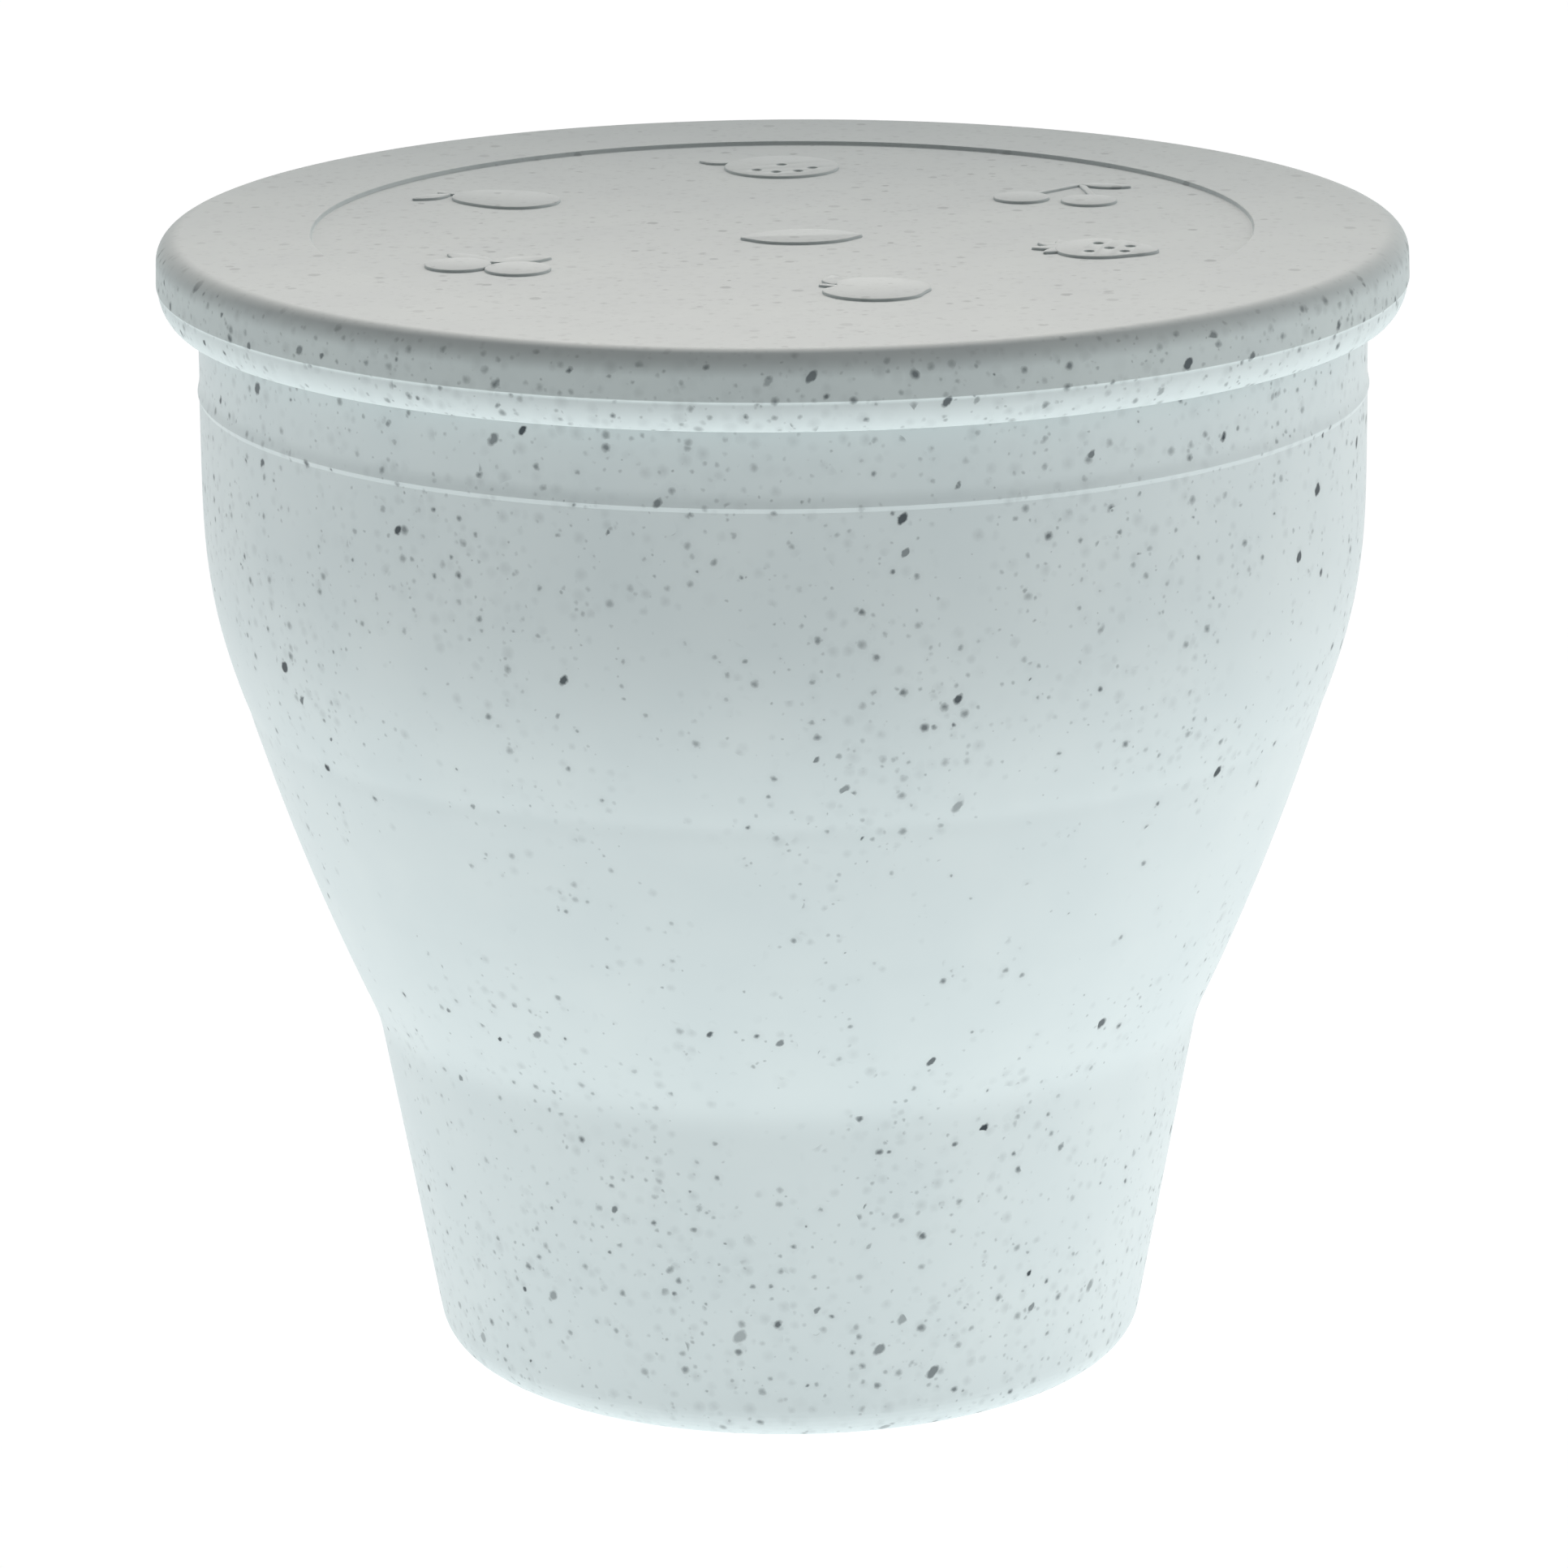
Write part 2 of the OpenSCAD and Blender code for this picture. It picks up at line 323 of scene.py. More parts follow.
class Signal:
    """A shader socket that Python's operators work on; each adds its Math node."""

    def __init__(self, shader: "Shader", socket: bpy.types.NodeSocket) -> None:
        """Keeps the socket and the shader that it belongs to."""
        self.shader = shader
        self.socket = socket

    def _math(self, operation: str, first: "Signal | float", second: "Signal | float",
              clamp: bool = False) -> "Signal":
        """Returns a new Math node's result, held between 0 and 1 if clamp is set."""
        settings = {"operation": operation, "use_clamp": clamp}
        return self.shader.node("ShaderNodeMath", settings, {0: first, 1: second}).signal(0)

    def __add__(self, other: "Signal | float") -> "Signal":
        """Returns self + other."""
        return self._math("ADD", self, other)

    def __radd__(self, other: float) -> "Signal":
        """Returns other + self."""
        return self._math("ADD", other, self)

    def __sub__(self, other: "Signal | float") -> "Signal":
        """Returns self - other."""
        return self._math("SUBTRACT", self, other)

    def __rsub__(self, other: float) -> "Signal":
        """Returns other - self."""
        return self._math("SUBTRACT", other, self)

    def __mul__(self, other: "Signal | float") -> "Signal":
        """Returns self times other."""
        return self._math("MULTIPLY", self, other)

    def __rmul__(self, other: float) -> "Signal":
        """Returns other times self."""
        return self._math("MULTIPLY", other, self)

    def __truediv__(self, other: "Signal | float") -> "Signal":
        """Returns self divided by other."""
        return self._math("DIVIDE", self, other)

    def __rtruediv__(self, other: float) -> "Signal":
        """Returns other divided by self."""
        return self._math("DIVIDE", other, self)

    def below(self, other: "Signal | float") -> "Signal":
        """Returns 1 where self is less than other, and 0 elsewhere."""
        return self._math("LESS_THAN", self, other)

    def larger(self, other: "Signal | float") -> "Signal":
        """Returns the larger of self and other."""
        return self._math("MAXIMUM", self, other)

    def held(self) -> "Signal":
        """Returns self held between 0 and 1."""
        return self._math("ADD", self, 0.0, clamp=True)

    def spread(self, low: float, high: float) -> "Signal":
        """Returns a value that runs from low to high as self runs from 0 to 1."""
        return self * (high - low) + low


class Node:
    """One shader node with its outputs at hand."""

    def __init__(self, shader: "Shader", node: bpy.types.Node) -> None:
        """Keeps the node and the shader that it belongs to."""
        self.shader = shader
        self.node = node

    def signal(self, output: int | str) -> Signal:
        """Returns the output of that number or name."""
        return Signal(self.shader, self.node.outputs[output])


class Shader:
    """A node tree, with one method that adds any node to it."""

    def __init__(self, tree: bpy.types.NodeTree) -> None:
        """Empties the tree for its new nodes."""
        self.tree = tree
        tree.nodes.clear()

    def node(self, kind: str, settings: dict[str, object] | None = None,
             inputs: dict[int | str, object] | None = None) -> Node:
        """Adds a node.

        Args:
            kind: The node's type name.
            settings: Its own settings, which are set first.
            inputs: Values or signals for its sockets, by number or name.

        Returns:
            The node.
        """
        made = self.tree.nodes.new(kind)
        for key, value in (settings or {}).items():
            setattr(made, key, value)
        for key, value in (inputs or {}).items():
            if isinstance(value, Signal):
                self.tree.links.new(value.socket, made.inputs[key])
            else:
                made.inputs[key].default_value = value
        return Node(self, made)

    def noise(self, place: Signal, size: float, detail: float = 2.0,
              seed: float = 0.0) -> Node:
        """Adds soft noise.

        Args:
            place: Where it is read, in millimetres.
            size: The width of its blotches in millimetres.
            detail: How many finer layers it has.
            seed: A value that moves it to another part of the noise.

        Returns:
            The noise node.
        """
        return self.node("ShaderNodeTexNoise", {"noise_dimensions": "4D"},
                         {"Vector": place, "W": seed, "Scale": 1 / size, "Detail": detail})

    def mix_colour(self, share: Signal | float, first: object, second: object) -> Signal:
        """Returns a blend of two colours or signals, with that share of the second."""
        mixed = self.node("ShaderNodeMix", {"data_type": "RGBA"},
                          {0: share, 6: opaque(first), 7: opaque(second)})
        return mixed.signal(2)


def opaque(colour: object) -> object:
    """Returns a colour with its alpha of 1, and a signal as it is."""
    return (*colour, 1.0) if isinstance(colour, tuple) and len(colour) == 3 else colour


# ---------------------------------------------------------------- finishes


@dataclass(frozen=True)
class SpeckLayer:
    """One size of the dark specks that are mixed into the silicone.

    Attributes:
        spacing: The average distance between the places where a speck can be.
        radius: The radius of the largest speck.
        share: The share of those places that have one.
        strength: How dark the darkest speck is, from 0 to 1.
        edge: How its edge fades.
        seed: A value that gives this layer places of its own.
        halo: How dark the soft stain round a speck is, as a share of the speck.
        stretch: How much longer the specks are along each axis.
        slant: How far their long axis leans, in degrees.
    """

    spacing: float
    radius: float
    share: float
    strength: float
    edge: SpeckEdge
    seed: float
    halo: float = 0.0
    stretch: tuple[float, float, float] = (1.0, 1.0, 1.0)
    slant: float = 0.0

    def mask(self, shader: Shader, place: Signal, crowding: Signal) -> Signal:
        """Adds the layer's nodes.

        Args:
            shader: The material's shader.
            place: The place on the piece in millimetres.
            crowding: How crowded the specks are there, about 1.

        Returns:
            How dark the specks are, from 0 to 1.
        """
        moved = shader.node("ShaderNodeMapping", {"vector_type": "TEXTURE"}, {
            "Vector": place, "Location": (self.seed, -self.seed, 2 * self.seed),
            "Rotation": (0.0, math.radians(self.slant), 0.0), "Scale": self.stretch})
        cells = shader.node("ShaderNodeTexVoronoi", {},
                            {"Vector": moved.signal(0), "Scale": 1 / self.spacing})
        chance = shader.node("ShaderNodeSeparateColor", {},
                             {"Color": cells.signal("Color")})
        swell = (crowding * (1 / FULL_CROWD)).held().spread(*SWELL)
        size = chance.signal("Red").spread(SMALLEST_SPECK, 1.0) * swell
        reach = size * (self.radius / self.spacing)
        away = cells.signal("Distance") / reach
        body = ((1.0 - away) * (1 / self.edge.value)).held()
        if self.halo:
            body = body.larger((1.0 - away * (1 / HALO_REACH)).held() * self.halo)
        shown = chance.signal("Green").below(crowding * self.share)
        depth = chance.signal("Blue").spread(FAINTEST_SPECK, 1.0)
        return body * shown * depth * self.strength


@dataclass(frozen=True)
class SpeckledSilicone:
    """Matt, slightly cloudy silicone with dark specks mixed in.

    Attributes:
        name: The material's name.
        colour: The silicone's own colour; the lid's copy is given a darker one, which is painted
            shade.
        cloud_colour: The colour of its faint clouds, also darker in the lid's copy as painted
            shade.
        speck_colour: The colour of the specks.
        cloud_size: The width of the clouds.
        cloud_contrast: How sharply the clouds stand out.
        cloud_offset: How much is taken off them, so that clear places stay.
        grain_size: The width of the fine surface grain.
        grain_height: The height of that grain.
        grain_strength: How strongly the grain turns the light.
        roughness: How matt the surface is.
        roughness_spread: How much the grain varies that.
        veil: The heights between which a clear skin closes over the specks, if any does.
        veil_share: How much of the specks that skin hides.
        lip_painted_light_below: The height below which the thin lip is painted paler, a painted
            light that stands in for light shining through it, if it has one.
        lip_painted_light_colour: That paler colour, which is painted light.
        sparse_height: The height with the fewest specks.
        gather: How much more crowded they are for each millimetre above or below it.
        patch_size: The width of the wide patches in which specks gather.
        patch_pull: How strongly they gather there.
        cluster_size: The width of the small clusters.
        cluster_pull: How strongly specks gather in those.
        thinning: How much is taken off all the crowding.
        wobble_size: The width of the bends in a speck's outline.
        wobble: How far those bends go.
        density: How many specks there are, as a multiple of the cup's.
        speck_size: How wide they are, as a multiple of the cup's.
        layers: The specks, size by size.
    """

    name: str
    colour: Colour = (0.69, 0.745, 0.745)
    cloud_colour: Colour = (0.655, 0.715, 0.72)
    speck_colour: Colour = (0.022, 0.035, 0.045)
    cloud_size: float = 9.0
    cloud_contrast: float = 2.4
    cloud_offset: float = 0.7
    grain_size: float = 0.16
    grain_height: float = 0.006
    grain_strength: float = 0.5
    roughness: float = 0.52
    roughness_spread: float = 0.12
    veil: tuple[float, float] | None = None
    veil_share: float = 0.6
    lip_painted_light_below: float | None = None
    lip_painted_light_colour: Colour = (0.71, 0.77, 0.77)
    sparse_height: float = 42.0
    gather: float = 0.045
    patch_size: float = 13.0
    patch_pull: float = 4.0
    cluster_size: float = 3.2
    cluster_pull: float = 3.4
    thinning: float = 3.4
    wobble_size: float = 0.45
    wobble: float = 0.36
    density: float = 1.0
    speck_size: float = 1.0
    layers: tuple[SpeckLayer, ...] = (
        SpeckLayer(0.85, 0.22, 0.55, 0.42, SpeckEdge.SOFT, 3.1),
        SpeckLayer(1.5, 0.38, 0.52, 0.80, SpeckEdge.SOFT, 17.7, 0.1),
        SpeckLayer(2.4, 0.4, 0.42, 1.0, SpeckEdge.CRISP, 41.3, 0.05, (1.0, 1.2, 1.7), 38.0),
        SpeckLayer(1.3, 0.58, 0.60, 0.22, SpeckEdge.CLOUDY, 73.9),
    )

    def material(self) -> bpy.types.Material:
        """Builds the material.

        Returns:
            The node material.
        """
        made = bpy.data.materials.new(self.name)
        made.use_nodes = True
        shader = Shader(made.node_tree)
        rest = shader.node("ShaderNodeAttribute", {"attribute_name": REST_PLACE})
        place = shader.node("ShaderNodeVectorMath", {"operation": "SCALE"},
                            {0: rest.signal("Vector"), "Scale": 1 / MM}).signal(0)
        height = shader.node("ShaderNodeSeparateXYZ", {}, {0: place}).signal("Z")
        dark = self._specks(shader, place, height)
        if self.veil:
            covered = ((height - self.veil[0]) * (1 / (self.veil[1] - self.veil[0]))).held()
            dark = dark * (1.0 - covered * self.veil_share)
        cloud = shader.noise(place, self.cloud_size, detail=3.0, seed=9.0).signal(0)
        clouds = (cloud * self.cloud_contrast - self.cloud_offset).held()
        base = shader.mix_colour(clouds, self.colour, self.cloud_colour)
        # Painted light: below that height the thin lip is painted a paler colour, standing in
        # for light shining through it.
        if self.lip_painted_light_below is not None:
            base = shader.mix_colour(height.below(self.lip_painted_light_below), base, self.lip_painted_light_colour)
        coloured = shader.mix_colour(dark, base, self.speck_colour)
        grain = shader.noise(place, self.grain_size, detail=3.0, seed=2.0).signal(0)
        smoothest = self.roughness - self.roughness_spread / 2
        bump = shader.node("ShaderNodeBump", {}, {
            "Strength": self.grain_strength, "Distance": self.grain_height * MM,
            "Height": grain})
        surface = shader.node("ShaderNodeBsdfPrincipled", {}, {
            "Base Color": coloured, "Roughness": grain * self.roughness_spread + smoothest,
            "Normal": bump.signal("Normal"), "IOR": SILICONE_IOR})
        shader.node("ShaderNodeOutputMaterial", {}, {"Surface": surface.signal(0)})
        return made

    def _specks(self, shader: Shader, place: Signal, height: Signal) -> Signal:
        """Adds all the layers of specks.

        Args:
            shader: The material's shader.
            place: The place on the piece in millimetres.
            height: Its height.

        Returns:
            How dark the specks are, from 0 to 1.
        """
        bends = shader.noise(place, self.wobble_size, detail=3.0, seed=5.0)
        bent = shader.node("ShaderNodeVectorMath", {"operation": "MULTIPLY_ADD"}, {
            0: bends.signal("Color"), 1: (self.wobble,) * 3, 2: place}).signal(0)
        away = (height - self.sparse_height).larger(self.sparse_height - height)
        patches = shader.noise(place, self.patch_size, detail=1.0, seed=1.5).signal(0)
        clusters = shader.noise(place, self.cluster_size, detail=1.0, seed=6.5).signal(0)
        crowding = (patches * self.patch_pull + clusters * self.cluster_pull
                    - self.thinning + away * self.gather)
        closer = self.density ** (-1 / 3)
        dark: Signal | None = None
        for layer in self.layers:
            packed = replace(layer, spacing=layer.spacing * closer,
                             radius=layer.radius * self.speck_size)
            mask = packed.mask(shader, bent, crowding)
            dark = mask if dark is None else dark.larger(mask)
        return dark


def dress(target: bpy.types.Object, finish: bpy.types.Material) -> None:
    """Gives a piece its finish.

    Args:
        target: The piece.
        finish: The material.
    """
    target.data.materials.clear()
    target.data.materials.append(finish)


# ---------------------------------------------------------------- the folding cup


@dataclass
class FoldingCup:
    """The one-piece cup: three tiers, two folds, a collar and a rim bead."""

    base: RoundNode = sized_by("cup_base")
    middle: RoundNode = sized_by("cup_middle_wall")
    upper: RoundNode = sized_by("cup_upper_wall")
    foot_side_radius: float = 27.3
    foot_corner: float = 5.0
    inner_corner: float = 3.0
    floor: float = 2.4
    recess_radius: float = 19.0
    recess_depth: float = 0.5
    wall: float = 2.2
    fold_wall: float = 1.3
    groove_height: float = 2.6
    middle_bulge: float = 0.22
    low_fold_spread: float = 1.6
    high_fold_spread: float = 4.0
    crease_depth: float = 0.05
    crease_height: float = 0.8
    foot_fillet: float = 0.4
    foot_lead: float = 0.6
    floor_lead: float = 4.2
    line_lead: float = 0.8
    run_gap: float = 0.5
    outer_steps: int = 150
    inner_steps: int = 120
    shoulder_height: float = 69.5
    shoulder_power: float = 2.3
    collar_radius: float = 44.9
    line_height: float = 77.3
    line_out: float = 0.12
    line_top: float = 0.8
    line_under: float = 0.35
    line_fade: float = 4.0
    line_fillet: float = 0.06
    collar_step: float = 0.05
    bead_out: float = 0.7
    bead_height: float = 1.8
    bead_fillet: float = 0.3
    edge: float = 0.4

    def base_side(self, height: float) -> float:
        """Returns the base tier's outer radius at a height."""
        slope = (self.base.radius - self.foot_side_radius) / self.base.high
        return self.foot_side_radius + slope * height

    def middle_side(self, height: float) -> float:
        """Finds the middle tier's outer radius, which bulges a little.

        Args:
            height: The height on the tier.

        Returns:
            The radius there.
        """
        share = (height - self.middle.low) / (self.middle.high - self.middle.low)
        widening = self.middle.radius - self.base.radius
        return self.base.radius + widening * (share + self.middle_bulge * share * (1 - share))

    def upper_side(self, height: float) -> float:
        """Finds the upper tier's outer radius, upright above the shoulder.

        Args:
            height: The height on the tier.

        Returns:
            The radius there.
        """
        if height >= self.shoulder_height:
            return self.collar_radius
        share = (self.shoulder_height - height) / (self.shoulder_height - self.middle.high)
        narrowing = (self.collar_radius - self.middle.radius) * share ** self.shoulder_power
        return self.collar_radius - narrowing

    def side(self, height: float) -> float:
        """Finds the outer radius at a height, with both folds rounded.

        Args:
            height: The height on the cup.

        Returns:
            The radius: each fold is the average over a short height round it, and
            the upper one has its faint crease.
        """
        between = (self.middle.low + self.middle.high) / 2
        spread = self.low_fold_spread if height < between else self.high_fold_spread
        near = spaced(height - spread, height + spread, len(FOLD_WEIGHTS) - 1)
        total = sum(self._sharp_side(z) * weight for z, weight in zip(near, FOLD_WEIGHTS))
        radius = total / sum(FOLD_WEIGHTS)
        away = (height - self.middle.high) / self.crease_height
        return radius - self.crease_depth * math.exp(-away * away)

    def _sharp_side(self, height: float) -> float:
        """Finds the outer radius at a height, with the folds still sharp.

        Args:
            height: The height on the cup.

        Returns:
            The radius there.
        """
        if height <= self.middle.low:
            return self.base_side(height)
        if height <= self.middle.high:
            return self.middle_side(height)
        return self.upper_side(height)

    def wall_at(self, height: float) -> float:
        """Finds the wall's thickness, which thins at each fold.

        Args:
            height: The height on the cup.

        Returns:
            The thickness there.
        """
        thinner = 0.0
        for fold in (self.middle.low, self.middle.high):
            away = abs(height - fold) / self.groove_height
            if away < 1:
                thinner = max(thinner, (1 + math.cos(math.pi * away)) / 2)
        return self.wall - (self.wall - self.fold_wall) * thinner

    def profile(self) -> list[Point]:
        """Draws the cup's section.

        Returns:
            The closed path from the foot's centre, up the outside and down the inside.
        """
        collar_top = self.collar_radius - self.collar_step
        bead = self.upper.radius
        rim = self.upper.high
        start = self.foot_corner + self.foot_lead
        foot = rounded([
            Corner(0, self.recess_depth),
            Corner(self.recess_radius, self.recess_depth, self.foot_fillet),
            Corner(self.recess_radius + self.recess_depth, 0, self.foot_fillet),
            Corner(self.foot_side_radius, 0, self.foot_corner),
            Corner(self.base_side(start), start)], arc_steps=ARC_STEPS)
        flank = self.line_height - self.line_under
        outside = [(self.side(z), z)
                   for z in spaced(start, flank - self.line_lead, self.outer_steps)[1:]]
        top = rounded([
            Corner(self.collar_radius, flank - self.run_gap),
            Corner(self.collar_radius, flank, self.line_fillet),
            Corner(self.collar_radius + self.line_out, self.line_height, self.line_fillet),
            Corner(collar_top, self.line_height + self.line_top, self.line_fade),
            Corner(collar_top, rim - self.bead_height - self.bead_out, self.bead_fillet),
            Corner(bead, rim - self.bead_height, self.bead_fillet),
            Corner(bead, rim, self.edge),
            Corner(collar_top - self.wall, rim, self.edge),
            Corner(collar_top - self.wall, self.shoulder_height)], arc_steps=4)
        inside = [(self.side(z) - self.collar_step - self.wall_at(z), z)
                  for z in spaced(self.shoulder_height - self.run_gap,
                                  self.floor + self.floor_lead, self.inner_steps)]
        floor_side = self.base_side(self.floor) - self.collar_step - self.wall
        bottom = rounded([
            Corner(*inside[-1]), Corner(floor_side, self.floor, self.inner_corner),
            Corner(0, self.floor)], arc_steps=ARC_STEPS)
        return foot + outside + top + inside + bottom[1:]

    def build(self, finish: bpy.types.Material) -> list[bpy.types.Object]:
        """Builds and dresses the cup.

        Args:
            finish: The silicone's material.

        Returns:
            The piece.
        """
        cup = turned("cup", self.profile())
        dress(cup, finish)
        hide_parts("cup_base", "cup_middle_wall", "cup_upper_wall")
        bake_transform(cup)
        return [cup]


# ---------------------------------------------------------------- the spill guard


@dataclass
class SpillGuard:
    """The guard in the rim: a flange, a plug wall, a membrane and eight flaps."""

    ring: RoundNode = sized_by("spill_guard_ring")
    flaps: int = 8
    flange: float = 1.4
    flange_fillet: float = 0.35
    plug_radius: float = 42.3
    plug_wall: float = 1.5
    plug_lead: float = 1.0
    plug_corner: float = 0.1
    fillet: float = 0.3
    membrane: float = 1.4
    dish_fillet: float = 1.5
    dish_margin: float = 4.0
    hinge_radius: float = 24.0
    flap: float = 1.2
    slit: float = 0.5
    slit_end: float = 1.2
    slit_walk: float = 0.999
    slit_steps: int = 8
    root_steps: int = 12
    edge: float = 0.25
    edge_share: float = 0.45
    root_edge: float = 0.02
    root_length: float = 0.05
    root_fade: float = 0.8
    root_rows: tuple[float, ...] = (0, 0.1, 0.3, 0.6, 0.9, 1.1, 1.25, 1.5)
    tip_gap: float = 0.5
    flap_lead: float = 2.0
    flap_steps: int = 24
    bend_length: float = 3.0

    @property
    def half(self) -> float:
        """Half the angle of one flap, in radians."""
        return math.pi / self.flaps

    @property
    def corner_radius(self) -> float:
        """The distance from the centre to the end of each slit."""
        return self.hinge_radius / math.cos(self.half)

    def mouth(self) -> list[tuple[float, float, float]]:
        """Walks round the mouth that the flaps close.

        Returns:
            For each place its angle, its radius, and how round its edge is: a flap's
            root has none, and the round slit ends have the full one.
        """
        walk: list[tuple[float, float, float]] = []
        grip = math.asin(self.slit_end / self.corner_radius)
        for sector in range(self.flaps):
            middle = sector * 2 * self.half
            for away in spaced(grip - self.half, self.half - grip, self.root_steps):
                walk.append((middle + away, self.hinge_radius / math.cos(away),
                             self.root_edge))
            corner = middle + self.half
            for swing in spaced(-1, 1, self.slit_steps):
                away = grip * math.sin(swing * math.pi / 2) * self.slit_walk
                chord = math.sqrt(max(0.0, self.slit_end ** 2
                                      - (self.corner_radius * math.sin(away)) ** 2))
                walk.append((corner + away, self.corner_radius * math.cos(away) + chord,
                             self.edge))
        return walk

    def section(self, mouth: float, edge: float) -> list[Point]:
        """Draws the ring's section at one place of the mouth.

        Args:
            mouth: The mouth's radius there.
            edge: How round the mouth's edge is there.

        Returns:
            The closed section of (radius, height) points.
        """
        top, low = self.ring.high, self.ring.high - self.flange
        floor = self.ring.low
        flat = floor + self.membrane
        inner = self.plug_radius - self.plug_wall
        start = inner - self.dish_margin
        loop = rounded([
            Corner(start, flat),
            Corner(inner, flat, self.dish_fillet),
            Corner(inner, top, self.fillet),
            Corner(self.ring.radius, top, self.flange_fillet),
            Corner(self.ring.radius, low, self.fillet),
            Corner(self.plug_radius, low, self.plug_corner),
            Corner(self.plug_radius, floor + self.plug_lead, self.fillet),
            Corner(self.plug_radius - self.plug_lead, floor, self.fillet),
            Corner(start, floor)], step=2.5, arc_steps=4)
        third, two_thirds = (mouth + (start - mouth) * share for share in (0.33, 0.66))
        bulge = EDGE_BULGE * edge
        nose = [(mouth + edge, floor), (mouth + bulge, floor + bulge), (mouth, floor + edge),
                (mouth, flat - edge), (mouth + bulge, flat - bulge), (mouth + edge, flat)]
        return [*loop, (two_thirds, floor), (third, floor), *nose,
                (third, flat), (two_thirds, flat)]

    def build_ring(self, finish: bpy.types.Material) -> bpy.types.Object:
        """Builds the ring and its membrane in place of the CAD node.

        Args:
            finish: The silicone's material.

        Returns:
            The piece.
        """
        sections = []
        for angle, mouth, edge in self.mouth():
            across = Vector((math.cos(angle), math.sin(angle), 0))
            sections.append([across * radius + Vector((0, 0, height))
                             for radius, height in self.section(mouth, edge)])
        mesh = bmesh.new()
        lofted(mesh, sections, round_trip=True)
        ring = piece("spill_guard", mesh)
        dress(ring, finish)
        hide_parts("spill_guard_ring")
        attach(ring, "spill_guard")
        return ring

    def flap_half_width(self, reach: float) -> float:
        """Finds half a flap's width, which the round slit ends narrow near its root.

        Args:
            reach: The distance from the centre.

        Returns:
            Half the width there.
        """
        straight = reach * math.tan(self.half) - self.slit / (2 * math.cos(self.half))
        away = self.hinge_radius - reach
        if away < self.slit_end:
            hole = self.hinge_radius * math.tan(self.half)
            straight = min(straight, hole - math.sqrt(self.slit_end ** 2 - away ** 2))
        return straight

    def flap_section(self, reach: float) -> list[Vector]:
        """Draws the section of a flap that points along X.

        Args:
            reach: The distance from the centre.

        Returns:
            The closed section, whose small edges are rounded.
        """
        half = self.flap_half_width(reach)
        away = self.hinge_radius - reach
        floor = self.ring.low
        fade = max(0.0, 1 - away / self.root_fade)
        top = floor + (self.flap + (self.membrane - self.flap) * fade)
        at_root = away <= self.root_length
        edge = self.root_edge if at_root else min(self.edge, half * self.edge_share)
        bulge = EDGE_BULGE * edge
        across = [-half, bulge - half, *spaced(edge - half, half - edge, 6), half - bulge, half]
        drop = [edge, bulge, *[0.0] * 7, bulge, edge]
        upper = [Vector((reach, y, top - d)) for y, d in zip(across, drop)]
        lower = [Vector((reach, y, floor + d)) for y, d in zip(across, drop)]
        return upper + lower[::-1]

    def build_flap(self, index: int, finish: bpy.types.Material) -> bpy.types.Object:
        """Builds one flap.

        Args:
            index: The flap's number, from 1.
            finish: The silicone's material.

        Returns:
            The piece.
        """
        tip = self.slit / (2 * math.sin(self.half)) + self.tip_gap
        reaches = [self.hinge_radius - row for row in self.root_rows]
        reaches += spaced(self.hinge_radius - self.flap_lead, tip, self.flap_steps)
        mesh = bmesh.new()
        lofted(mesh, [self.flap_section(reach) for reach in reaches])
        angle = 2 * self.half * (index - 1)
        bmesh.ops.rotate(mesh, cent=(0, 0, 0), matrix=Matrix.Rotation(angle, 3, "Z"),
                         verts=mesh.verts)
        flap = piece(f"guard_flap_{index}_soft", mesh)
        dress(flap, finish)
        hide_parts(f"guard_flap_{index}")
        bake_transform(flap)
        return flap

    def build(self, finish: bpy.types.Material) -> list[bpy.types.Object]:
        """Builds and dresses the ring and the eight flaps.

        Args:
            finish: The silicone's material.

        Returns:
            The pieces.
        """
        ring = self.build_ring(finish)
        return [ring] + [self.build_flap(i, finish) for i in range(1, self.flaps + 1)]


# ---------------------------------------------------------------- the lid


def polar(radius_at: Callable[[float], float], steps: int = 96) -> list[Point]:
    """Returns a closed outline from its radius at each angle."""
    angles = [2 * math.pi * i / steps for i in range(steps)]
    return [(radius_at(a) * math.cos(a), radius_at(a) * math.sin(a)) for a in angles]


def disc(x: float, y: float, radius: float, steps: int = 64) -> list[Point]:
    """Returns a round outline about (x, y)."""
    return [(x + px, y + py) for px, py in polar(lambda _: radius, steps)]


def placed(loop: Iterable[Point], x: float, y: float, turn: float) -> list[Point]:
    """Returns an outline that is turned by degrees and then moved to (x, y)."""
    cos, sin = math.cos(math.radians(turn)), math.sin(math.radians(turn))
    return [(x + px * cos - py * sin, y + px * sin + py * cos) for px, py in loop]


def leaf(x: float, y: float, turn: float, length: float, width: float) -> list[Point]:
    """Draws a pointed leaf.

    Args:
        x: The place along X where it grows.
        y: The place along Y where it grows.
        turn: The way it points, in degrees from X.
        length: Its length.
        width: Its width.

    Returns:
        The outline.
    """
    side = [(length * share, width / 2 * math.sin(math.pi * share) ** LEAF_FULLNESS)
            for share in spaced(0.02, 0.98, 20)]
    return placed(side + [(px, -py) for px, py in reversed(side)], x, y, turn)


def stalk(x: float, y: float, turn: float, length: float, width: float) -> list[Point]:
    """Draws a stalk with round ends.

    Args:
        x: The place along X where it grows.
        y: The place along Y where it grows.
        turn: The way it points, in degrees from X.
        length: Its length.
        width: Its width.

    Returns:
        The outline.
    """
    near = [(math.cos(a) * width / 2, math.sin(a) * width / 2)
            for a in spaced(math.pi / 2, 1.5 * math.pi, ARC_STEPS)]
    return placed(near + [(length - px, -py) for px, py in near], x, y, turn)


